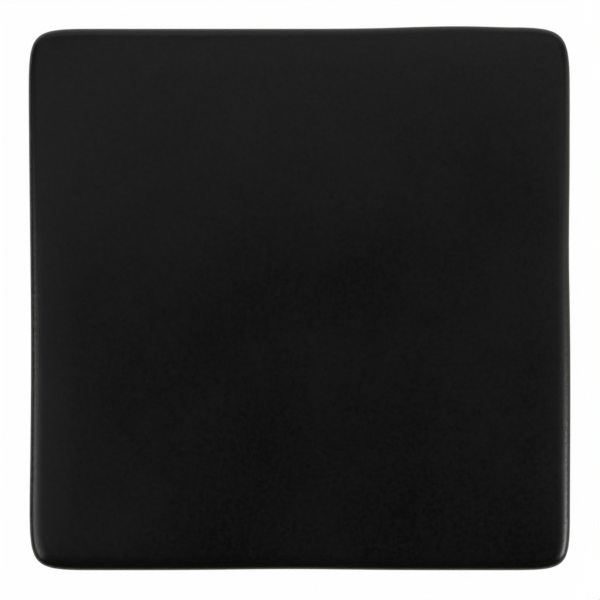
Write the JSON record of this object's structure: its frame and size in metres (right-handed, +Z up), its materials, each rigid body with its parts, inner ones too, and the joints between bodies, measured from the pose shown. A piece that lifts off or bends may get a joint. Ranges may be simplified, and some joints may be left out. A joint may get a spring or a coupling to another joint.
{
  "type": "square plate",
  "caption": "Square slab-built stoneware plate with a flat face, a soft rolled edge, rounded corners and a low foot ring, under a satin black glaze.",
  "frame": {"origin": "on the table under the middle of the plate, level with the flat rim of the foot ring", "axes": "+Z up through the face, +Y towards the back edge (the top of the picture), +X to the right"},
  "size_m": [0.2502, 0.2512, 0.0135],
  "materials": {
    "black_glaze": "satin",
    "stoneware": "matte",
    "slip": "matte"
  },
  "bodies": {
    "root": {"clay_slab": "stoneware", "foot_ring": "stoneware", "luting_slip": "slip", "face_glaze": "black_glaze", "well_glaze": "black_glaze"}
  },
  "joints": []
}
